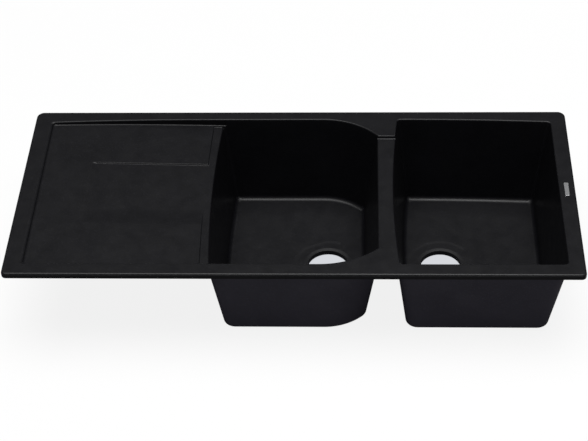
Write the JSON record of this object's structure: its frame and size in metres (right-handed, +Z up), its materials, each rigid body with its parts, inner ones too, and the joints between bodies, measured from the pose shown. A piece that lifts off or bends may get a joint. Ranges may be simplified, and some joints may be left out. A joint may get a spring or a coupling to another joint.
{
  "type": "double bowl kitchen sink",
  "caption": "Inset kitchen sink moulded in one piece: a sloping drainer with a sunk panel, a D-shaped bowl and a rectangular bowl, open waste holes, and swing-out clamping clips under its rim.",
  "frame": {"origin": "under the centre of the rim, on the level that the bowls stand on", "axes": "+X to the right along the sink, from the drainer to the rectangular bowl; +Y to the back edge, where the tap goes; +Z up"},
  "size_m": [1.163, 0.505, 0.2205],
  "materials": {
    "composite": "matt moulded quartz composite with fine grain",
    "plate_metal": "brushed",
    "seal_foam": "closed-cell foam",
    "nylon": "moulded nylon",
    "screw_steel": "bright zinc plate",
    "arm_steel": "zinc-plated strip"
  },
  "bodies": {
    "sink": {"sink_body": "composite", "rim_plate": "plate_metal", "rim_seal": "seal_foam", "clip_plug_1": "nylon", "clip_plug_2": "nylon", "clip_plug_3": "nylon", "clip_plug_4": "nylon", "clip_plug_5": "nylon", "clip_plug_6": "nylon", "clip_plug_7": "nylon", "clip_plug_8": "nylon"},
    "screw_1": {"clip_screw_1": "screw_steel"},
    "arm_1": {"clip_arm_1": "arm_steel"},
    "screw_2": {"clip_screw_2": "screw_steel"},
    "arm_2": {"clip_arm_2": "arm_steel"},
    "screw_3": {"clip_screw_3": "screw_steel"},
    "arm_3": {"clip_arm_3": "arm_steel"},
    "screw_4": {"clip_screw_4": "screw_steel"},
    "arm_4": {"clip_arm_4": "arm_steel"},
    "screw_5": {"clip_screw_5": "screw_steel"},
    "arm_5": {"clip_arm_5": "arm_steel"},
    "screw_6": {"clip_screw_6": "screw_steel"},
    "arm_6": {"clip_arm_6": "arm_steel"},
    "screw_7": {"clip_screw_7": "screw_steel"},
    "arm_7": {"clip_arm_7": "arm_steel"},
    "screw_8": {"clip_screw_8": "screw_steel"},
    "arm_8": {"clip_arm_8": "arm_steel"}
  },
  "joints": [
    {"name": "clip_1_tighten", "type": "slide", "parent": "sink", "child": "screw_1", "axis": [0, 0, -1], "range_m": [0, 0.01]},
    {"name": "clip_1_swing", "type": "hinge", "parent": "screw_1", "child": "arm_1", "pos_m": [-0.5, 0.232, 0.1954], "axis": [0, 0, 1], "range_deg": [0, 180]},
    {"name": "clip_2_tighten", "type": "slide", "parent": "sink", "child": "screw_2", "axis": [0, 0, -1], "range_m": [0, 0.01]},
    {"name": "clip_2_swing", "type": "hinge", "parent": "screw_2", "child": "arm_2", "pos_m": [-0.32, 0.232, 0.1954], "axis": [0, 0, 1], "range_deg": [0, 180]},
    {"name": "clip_3_tighten", "type": "slide", "parent": "sink", "child": "screw_3", "axis": [0, 0, -1], "range_m": [0, 0.01]},
    {"name": "clip_3_swing", "type": "hinge", "parent": "screw_3", "child": "arm_3", "pos_m": [0.165, 0.232, 0.1954], "axis": [0, 0, 1], "range_deg": [-180, 0]},
    {"name": "clip_4_tighten", "type": "slide", "parent": "sink", "child": "screw_4", "axis": [0, 0, -1], "range_m": [0, 0.01]},
    {"name": "clip_4_swing", "type": "hinge", "parent": "screw_4", "child": "arm_4", "pos_m": [0.562, 0.11, 0.1954], "axis": [0, 0, 1], "range_deg": [0, 90]},
    {"name": "clip_5_tighten", "type": "slide", "parent": "sink", "child": "screw_5", "axis": [0, 0, -1], "range_m": [0, 0.01]},
    {"name": "clip_5_swing", "type": "hinge", "parent": "screw_5", "child": "arm_5", "pos_m": [0.562, -0.11, 0.1954], "axis": [0, 0, 1], "range_deg": [-90, 0]},
    {"name": "clip_6_tighten", "type": "slide", "parent": "sink", "child": "screw_6", "axis": [0, 0, -1], "range_m": [0, 0.01]},
    {"name": "clip_6_swing", "type": "hinge", "parent": "screw_6", "child": "arm_6", "pos_m": [0.165, -0.232, 0.1954], "axis": [0, 0, 1], "range_deg": [0, 180]},
    {"name": "clip_7_tighten", "type": "slide", "parent": "sink", "child": "screw_7", "axis": [0, 0, -1], "range_m": [0, 0.01]},
    {"name": "clip_7_swing", "type": "hinge", "parent": "screw_7", "child": "arm_7", "pos_m": [-0.32, -0.232, 0.1954], "axis": [0, 0, 1], "range_deg": [-180, 0]},
    {"name": "clip_8_tighten", "type": "slide", "parent": "sink", "child": "screw_8", "axis": [0, 0, -1], "range_m": [0, 0.01]},
    {"name": "clip_8_swing", "type": "hinge", "parent": "screw_8", "child": "arm_8", "pos_m": [-0.5, -0.232, 0.1954], "axis": [0, 0, 1], "range_deg": [-180, 0]}
  ]
}
